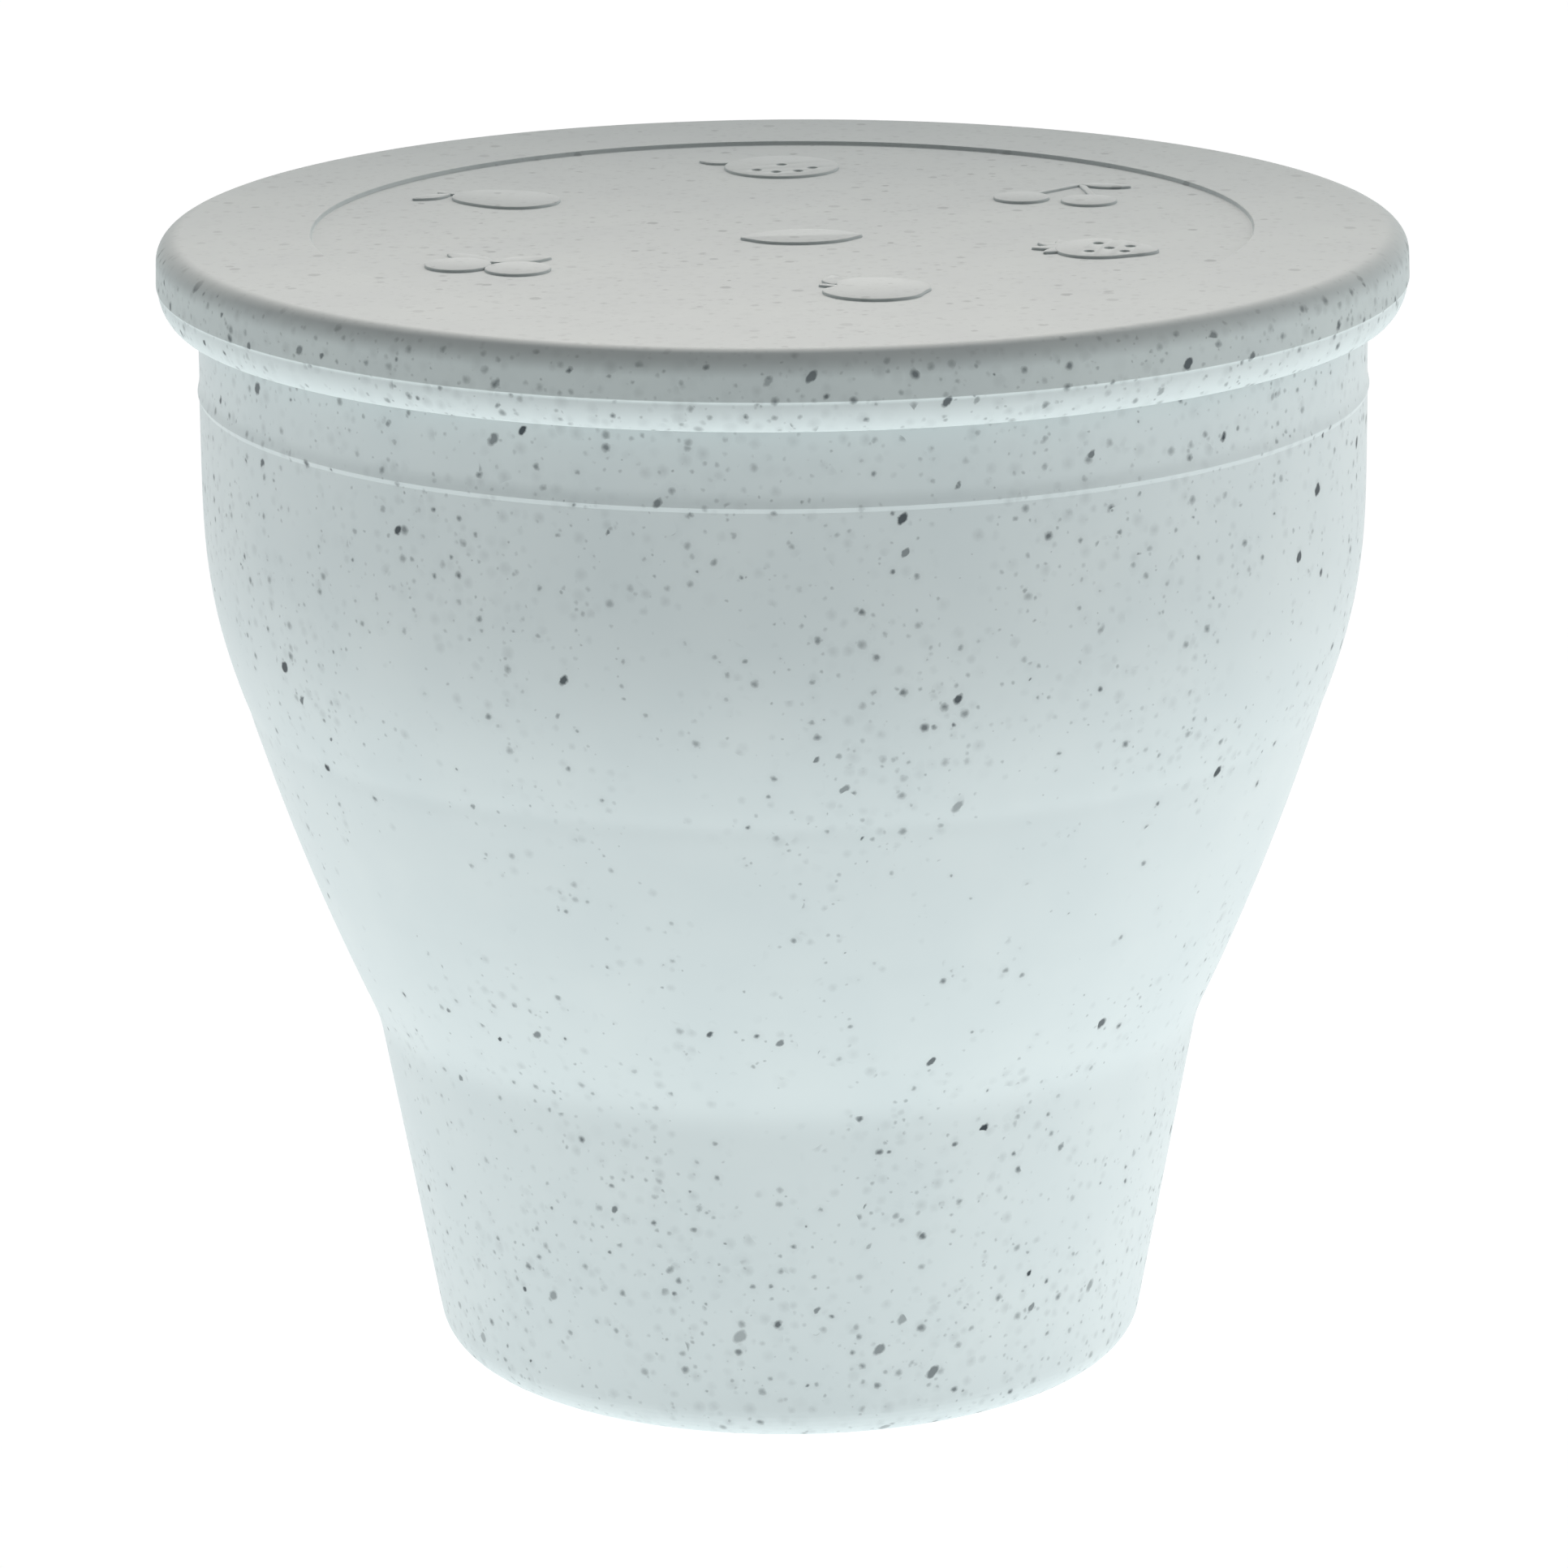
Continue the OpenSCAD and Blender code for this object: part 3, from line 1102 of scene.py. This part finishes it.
@dataclass(frozen=True)
class Figure:
    """One raised fruit on the lid, drawn about one unit across.

    Attributes:
        ring: Its distance from the lid's centre.
        angle: Its place on the ring in degrees.
        turn: How far it is turned in degrees.
        forms: Each form's outline, with the share of the relief's height it has.
        pits: Outlines of the dimples in the first form.
    """

    ring: float
    angle: float
    turn: float
    forms: tuple[tuple[list[Point], float], ...]
    pits: tuple[list[Point], ...] = ()


@dataclass
class FruitRelief:
    """The low fruit figures in the lid's recess."""

    height: float = 0.2
    size: float = 10.0
    ring: float = 25.5
    edge: float = 0.1
    edge_steps: int = 2
    sink: float = 0.3
    weld: float = 0.001

    def figures(self) -> list[Figure]:
        """Draws the fruit.

        Returns:
            The seven figures: six on the ring and one near the lid's centre.
        """
        orange = Figure(self.ring, 90, 20, (
            (disc(0, 0, 0.46), 1.0), (leaf(-0.3, 0.3, 140, 0.3, 0.16), 0.85)),
            (*(self._pit(0.26 * math.cos(math.radians(a)), 0.26 * math.sin(math.radians(a)))
               for a in range(200, 341, 40)), self._pit(0.02, 0.06)))
        pear = Figure(self.ring, 150, 60, (
            (polar(self._pear_radius), 1.0), (stalk(0, 0.36, 92, 0.18, 0.07), 0.8),
            (leaf(-0.03, 0.44, 155, 0.36, 0.17), 0.9)))
        plums = Figure(self.ring, 212, -15, (
            (disc(-0.24, -0.12, 0.25), 1.0), (disc(0.24, -0.16, 0.25), 0.94),
            (leaf(-0.04, 0.02, 35, 0.5, 0.22), 0.88), (leaf(0, 0.02, 150, 0.52, 0.22), 0.82)))
        apple = Figure(self.ring, 286, 70, (
            (polar(self._apple_radius), 1.0), (stalk(0, 0.24, 84, 0.2, 0.07), 0.8),
            (leaf(0.04, 0.36, 22, 0.36, 0.17), 0.9)))
        strawberry = Figure(self.ring, 338, 75, (
            (polar(self._strawberry_radius), 1.0),
            *((leaf(0, 0.2, a, 0.3, 0.13), 0.85 + 0.02 * i)
              for i, a in enumerate((30, 70, 110, 150)))),
            tuple(self._pit(x, y) for x, y in (
                (-0.16, 0.02), (0.16, 0.02), (0, -0.1), (-0.1, -0.24), (0.1, -0.24))))
        cherries = Figure(self.ring, 30, -20, (
            (disc(-0.27, -0.24, 0.22), 1.0), (disc(0.27, -0.2, 0.22), 0.96),
            (stalk(-0.22, -0.04, 65, 0.5, 0.06), 0.8), (stalk(0.24, 0.0, 118, 0.48, 0.06), 0.76),
            (leaf(0, 0.42, 5, 0.42, 0.18), 0.9)))
        lemon = Figure(self.ring / 6, 290, 5, ((polar(self._lemon_radius), 1.0),))
        return [orange, pear, plums, apple, strawberry, cherries, lemon]

    @staticmethod
    def _pit(x: float, y: float) -> list[Point]:
        """Returns the outline of one small dimple."""
        return disc(x, y, radius=0.04, steps=12)

    @staticmethod
    def _pear_radius(angle: float) -> float:
        """Returns a pear's radius: full below and narrow above."""
        return 0.34 + 0.1 * (1 - math.sin(angle)) / 2 - 0.06 * math.cos(2 * angle)

    @staticmethod
    def _apple_radius(angle: float) -> float:
        """Draws an apple, with its dip at the stalk and a small one below.

        Args:
            angle: The angle about its middle in radians.

        Returns:
            Its radius there.
        """
        dip = math.exp(-((angle - math.pi / 2) / 0.3) ** 2)
        foot = math.exp(-((angle - 1.5 * math.pi) / 0.3) ** 2)
        return 0.41 - 0.1 * dip - 0.03 * foot + 0.02 * math.sin(angle)

    @staticmethod
    def _strawberry_radius(angle: float) -> float:
        """Returns a strawberry's radius, pointed below."""
        point = math.exp(-((angle - 1.5 * math.pi) / 0.45) ** 2)
        return 0.36 + 0.12 * point - 0.05 * max(0.0, math.sin(angle)) ** 2

    @staticmethod
    def _lemon_radius(angle: float) -> float:
        """Draws a lemon, with a nub at either end.

        Args:
            angle: The angle about its middle in radians.

        Returns:
            Its radius there.
        """
        nub = sum(math.exp(-((angle - end) / 0.16) ** 2) for end in (0, math.pi, 2 * math.pi))
        oval = 0.27 / math.sqrt(1 - 0.58 * math.cos(angle) ** 2)
        return oval + 0.05 * nub

    def _form(self, outline: list[Point], share: float,
              pits: Iterable[list[Point]]) -> bpy.types.Object:
        """Makes one raised form as a filled curve with a rounded edge.

        Args:
            outline: The form's outline in units of the figure's size.
            share: The share of the relief's height that it has.
            pits: The outlines of its dimples.

        Returns:
            The curve object in millimetres, centred on its own middle plane.
        """
        curve = bpy.data.curves.new("form", "CURVE")
        curve.dimensions = "2D"
        curve.fill_mode = "BOTH"
        curve.bevel_depth = self.edge
        curve.bevel_resolution = self.edge_steps
        curve.extrude = (self.height * share + self.sink) / 2 - self.edge
        curve.offset = -self.edge
        for loop in (outline, *pits):
            spline = curve.splines.new("POLY")
            spline.points.add(len(loop) - 1)
            for point, (x, y) in zip(spline.points, loop):
                point.co = (x * self.size, y * self.size, 0, 1)
            spline.use_cyclic_u = True
        return added("form", curve)

    def build(self, floor: float, finish: bpy.types.Material) -> bpy.types.Object:
        """Builds all the figures as one piece that rides on the lid.

        Args:
            floor: The height of the recess that they stand in.
            finish: The silicone's material.

        Returns:
            The piece.
        """
        whole = bmesh.new()
        for figure in self.figures():
            angle = math.radians(figure.angle)
            turn = Matrix.Rotation(math.radians(figure.turn), 4, "Z")
            for number, (outline, share) in enumerate(figure.forms):
                form = self._form(outline, share, figure.pits if number == 0 else ())
                solid = form.evaluated_get(bpy.context.evaluated_depsgraph_get())
                before = len(whole.verts)
                whole.from_mesh(solid.to_mesh())
                whole.verts.ensure_lookup_table()
                place = Vector((figure.ring * math.cos(angle), figure.ring * math.sin(angle),
                                floor + (self.height * share - self.sink) / 2))
                bmesh.ops.transform(whole, matrix=Matrix.Translation(place) @ turn,
                                    verts=whole.verts[before:])
                solid.to_mesh_clear()
                bpy.data.objects.remove(form)
        bmesh.ops.remove_doubles(whole, verts=whole.verts, dist=self.weld)
        relief = piece("lid_fruit_relief", whole)
        dress(relief, finish)
        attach(relief, "lid")
        return relief


@dataclass
class PressLid:
    """The press-on lid: a recessed top, a rounded edge, a skirt and a seal ring."""

    node: RoundNode = sized_by("lid")
    guard: RoundNode = sized_by("spill_guard_ring")
    parting_step: float = 0.12
    parting_edge: float = 0.04
    skirt: float = 2.15
    edge: float = 3.3
    fillet: float = 0.3
    side_lean: float = 0.1
    lower_height: float = 2.35
    tuck: float = 1.1
    curl_share: float = 0.8
    curl_steps: int = 12
    lip_edge: float = 0.5
    recess_radius: float = 36.0
    recess_depth: float = 0.3
    recess_edge: float = 0.1
    seal_radius: float = 40.4
    seal: float = 1.6
    seal_depth: float = 2.5
    relief: FruitRelief = field(default_factory=FruitRelief)

    @property
    def recess_floor(self) -> float:
        """The height of the recess in the lid's top."""
        return self.node.high - self.recess_depth

    def curled_lip(self) -> list[Corner]:
        """Draws the lip below the parting line.

        Returns:
            The corners of its arc, which starts upright and curls in.
        """
        high = self.node.low + self.lower_height - self.parting_step / 2
        drop = high - self.node.low
        curl = self.tuck - self.parting_step
        radius = (drop * drop + curl * curl) / (2 * curl)
        side = self.node.radius
        middle = side - self.parting_step - radius
        end = math.asin(drop / radius)
        arc = [Corner(middle + radius * math.cos(turn), high - radius * math.sin(turn))
               for turn in spaced(0, self.curl_share * end, self.curl_steps)]
        return arc + [Corner(side - self.tuck, self.node.low, self.lip_edge)]

    def profile(self) -> list[Point]:
        """Draws the lid's section.

        Returns:
            The closed path from the top's centre, out, down, under and back.
        """
        top, lip, side = self.node.high, self.node.low, self.node.radius
        parting = lip + self.lower_height
        inner = side - self.skirt
        under = self.guard.high
        seal_low = under - self.seal_depth
        return rounded([
            Corner(0, self.recess_floor),
            Corner(self.recess_radius, self.recess_floor, self.recess_edge),
            Corner(self.recess_radius + self.recess_depth / 3, top, self.recess_edge),
            Corner(side - self.side_lean, top, self.edge),
            Corner(side, parting + self.parting_step / 2, self.parting_edge),
            *self.curled_lip(),
            *(Corner(radius, height, self.fillet) for radius, height in (
                (inner, lip), (inner, under), (self.seal_radius, under),
                (self.seal_radius, seal_low), (self.seal_radius - self.seal, seal_low),
                (self.seal_radius - self.seal, under))),
            Corner(0, under)], arc_steps=ARC_STEPS)

    def build(self, finish: bpy.types.Material) -> list[bpy.types.Object]:
        """Builds and dresses the lid and its relief.

        Args:
            finish: The silicone's material.

        Returns:
            The pieces.
        """
        shell = turned("lid_shell", self.profile())
        dress(shell, finish)
        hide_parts("lid")
        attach(shell, "lid")
        return [shell, self.relief.build(self.recess_floor, finish)]


# ---------------------------------------------------------------- the studio


@dataclass(frozen=True)
class Table:
    """The white table: it glows softly, as a light table does, and keeps the shadow.

    Attributes:
        size: Its width in metres.
        paint: How much light its surface sends back.
        glow: How brightly it glows on the cup, as stops of a distance in millimetres
            from the cup's axis and the level there.
        glow_colour: The colour of that glow.
        seen: How brightly it glows to the camera.
    """

    size: float = 8.0
    paint: float = 0.25
    glow: tuple[tuple[float, float], ...] = (
        (30, 1.16), (60, 1.46), (100, 1.2), (170, 1.44), (300, 0.76), (600, 0.45))
    glow_colour: Colour = (0.955, 1.01, 1.02)
    seen: float = 0.9

    def build(self) -> None:
        """Adds the table as a part of the stage."""
        mesh = bmesh.new()
        bmesh.ops.create_grid(mesh, x_segments=8, y_segments=8, size=self.size / 2)
        data = bpy.data.meshes.new("table")
        mesh.to_mesh(data)
        mesh.free()
        table = added("table", data)
        made = bpy.data.materials.new("white_table")
        made.use_nodes = True
        shader = Shader(made.node_tree)
        paint = shader.node("ShaderNodeBsdfDiffuse", {}, {
            "Color": opaque((self.paint,) * 3)})
        place = shader.node("ShaderNodeNewGeometry").signal("Position")
        away = shader.node("ShaderNodeVectorMath", {"operation": "LENGTH"},
                           {0: place}).signal("Value")
        level: Signal | float = self.glow[0][1]
        for (start, low), (end, high) in zip(self.glow, self.glow[1:]):
            share = shader.node("ShaderNodeMapRange", {}, {
                "Value": away, "From Min": start * MM, "From Max": end * MM}).signal(0)
            level = share * (high - low) + level
        unseen = shader.node("ShaderNodeEmission", {}, {
            "Color": opaque(self.glow_colour), "Strength": level})
        seen = shader.node("ShaderNodeEmission", {}, {"Strength": self.seen})
        glow = shader.node("ShaderNodeMixShader", {}, {
            0: directly_seen(shader), 1: unseen.signal(0), 2: seen.signal(0)})
        whole = shader.node("ShaderNodeAddShader", {}, {0: paint.signal(0), 1: glow.signal(0)})
        shader.node("ShaderNodeOutputMaterial", {}, {"Surface": whole.signal(0)})
        data.materials.append(made)


@dataclass(frozen=True)
class Screen:
    """One soft white screen near the cup.

    Attributes:
        azimuth: Where its middle is, in degrees: 0 is the camera's side, 90 the right.
        elevation: How high its middle is, in degrees.
        reach: How far from its middle it has faded to nothing, in degrees.
        level: How bright its middle is.
    """

    azimuth: float
    elevation: float
    reach: float
    level: float

    def light(self, shader: Shader, towards: Signal) -> Signal:
        """Adds the screen's light to the world.

        Args:
            shader: The world's shader.
            towards: The direction that is looked in.

        Returns:
            How bright the screen is in that direction.
        """
        facing = shader.node("ShaderNodeVectorMath", {"operation": "DOT_PRODUCT"}, {
            0: towards, 1: direction(self.azimuth, self.elevation)}).signal("Value")
        share = shader.node("ShaderNodeMapRange", {"interpolation_type": "SMOOTHSTEP"}, {
            "Value": facing, "From Min": math.cos(math.radians(self.reach)),
            "From Max": 1.0}).signal(0)
        return share * self.level


@dataclass(frozen=True)
class Surround:
    """The white surround, and the screens that light the cup."""

    screens: tuple[Screen, ...] = (
        Screen(60, 12, 70, 0.33),
        Screen(120, 12, 70, 1.3),
        Screen(-120, 12, 70, 1.06),
    )

    def build(self) -> None:
        """Sets the world: white where it is seen, and lit by the screens elsewhere."""
        world = bpy.data.worlds.new("white_surround")
        bpy.context.scene.world = world
        world.use_nodes = True
        shader = Shader(world.node_tree)
        towards = shader.node("ShaderNodeTexCoord").signal("Generated")
        level: Signal | float = 0.0
        for screen in self.screens:
            level = screen.light(shader, towards) + level
        soft = shader.node("ShaderNodeBackground", {}, {"Color": WHITE, "Strength": level})
        white = shader.node("ShaderNodeBackground", {}, {"Color": WHITE, "Strength": 1.0})
        seen = shader.node("ShaderNodeMixShader", {}, {
            0: directly_seen(shader), 1: soft.signal(0), 2: white.signal(0)})
        shader.node("ShaderNodeOutputWorld", {}, {"Surface": seen.signal(0)})


def directly_seen(shader: Shader) -> Signal:
    """Tells the rays that show a surface, directly or in a reflection, from the others.

    Args:
        shader: The shader that the nodes are added to.

    Returns:
        1 for such a ray, and 0 for one that only lights.
    """
    rays = shader.node("ShaderNodeLightPath")
    shown = rays.signal("Is Camera Ray").larger(rays.signal("Is Glossy Ray"))
    return shown.larger(rays.signal("Is Transmission Ray"))


@dataclass(frozen=True)
class StripLamp:
    """One strip lamp with a grid, which keeps its light to a beam.

    Attributes:
        name: The lamp's name.
        azimuth: Where it stands, in degrees: 0 is the camera's side, 90 the right.
        elevation: How high it stands, in degrees above its target.
        width: The lamp's width in metres.
        depth: The lamp's height in metres.
        level: How brightly it lights a white surface that faces it.
        target: The point that it is aimed at, in millimetres.
        beam: The angle of its beam in degrees.
        colour: The light's colour.
        distance: How far it stands from its target in metres.
    """

    name: str
    azimuth: float
    elevation: float
    width: float
    depth: float
    level: float
    target: tuple[float, float, float]
    beam: float = 180.0
    colour: Colour = (1.0, 1.0, 1.0)
    distance: float = 0.6

    def build(self) -> None:
        """Adds the lamp."""
        data = bpy.data.lights.new(self.name, "AREA")
        data.shape = "RECTANGLE"
        data.size = self.width
        data.size_y = self.depth
        data.spread = math.radians(self.beam)
        data.energy = self.level * (math.pi * self.distance) ** 2
        data.color = self.colour
        lamp = added(self.name, data)
        away = direction(self.azimuth, self.elevation)
        lamp.location = Vector(self.target) * MM + away * self.distance
        lamp.rotation_mode = "QUATERNION"
        lamp.rotation_quaternion = away.to_track_quat("Z", "Y")


@dataclass(frozen=True)
class CameraStand:
    """The camera at the photograph's angle, in millimetres and degrees.

    Attributes:
        side: How far it stands to the right of the cup's axis.
        back: How far it stands in front of the cup's axis.
        height: How high it stands above the table.
        pitch: How far it looks down.
        roll: How far it is turned about its own view.
        focal_pixels: The focal length in the photograph's pixels.
        image_pixels: The photograph's width in pixels.
        sensor: The sensor's width.
        nearest: The nearest distance that it shows, in metres.
    """

    side: float = -0.2
    back: float = 530.3
    height: float = 190.5
    pitch: float = 15.37
    roll: float = -0.45
    focal_pixels: float = 8654.0
    image_pixels: float = 1932.0
    sensor: float = 36.0
    nearest: float = 0.01

    def build(self) -> None:
        """Adds the camera and makes it the scene's."""
        data = bpy.data.cameras.new("camera")
        data.sensor_width = self.sensor
        data.lens = self.focal_pixels / self.image_pixels * self.sensor
        data.clip_start = self.nearest
        camera = added("camera", data)
        camera.location = (self.side * MM, -self.back * MM, self.height * MM)
        tilt = Quaternion((1, 0, 0), math.radians(90 - self.pitch))
        camera.rotation_mode = "QUATERNION"
        camera.rotation_quaternion = tilt @ Quaternion((0, 0, 1), math.radians(self.roll))
        bpy.context.scene.camera = camera


@dataclass
class Studio:
    """The white table, the white surround, the lamps and the camera."""

    camera: CameraStand = CameraStand()
    table: Table = Table()
    surround: Surround = Surround()
    lamps: tuple[StripLamp, ...] = (
        StripLamp("lamp_back", 182, 28, 0.3, 0.04, 0.0136, (0, -68, 89), 16, (1.0, 0.92, 0.87)),
    )

    def build(self) -> None:
        """Adds the camera, the table, the surround and the lamps."""
        self.camera.build()
        self.table.build()
        self.surround.build()
        for lamp in self.lamps:
            lamp.build()
        bpy.context.scene.view_settings.view_transform = "Standard"


def main() -> None:
    """Builds the studio and the snack cup, piece by piece."""
    logging.basicConfig(level=logging.INFO, format="%(name)s: %(message)s")
    Studio().build()
    silicone = SpeckledSilicone("speckled_silicone").material()
    # The lid's finish is a copy of the cup's silicone with painted shade: its colour and cloud
    # colour are darker to stand in for the weaker light on the lid.
    lid_silicone = SpeckledSilicone(
        "lid_silicone", colour=(0.58, 0.63, 0.622), cloud_colour=(0.553, 0.601, 0.6),
        # Below the parting line the lid's thin lip is painted paler: painted light shining
        # through it.
        roughness=0.72, veil=(88.2, 89.0), veil_share=0.75, lip_painted_light_below=85.6, density=1.3,
        speck_size=1.05).material()
    for assembly, finish in ((FoldingCup(), silicone), (SpillGuard(), silicone),
                             (PressLid(), lid_silicone)):
        for made in assembly.build(finish):
            LOG.info("%s: %s, %d faces", type(assembly).__name__, made.name,
                     len(made.data.polygons))


if __name__ == "__main__":
    main()
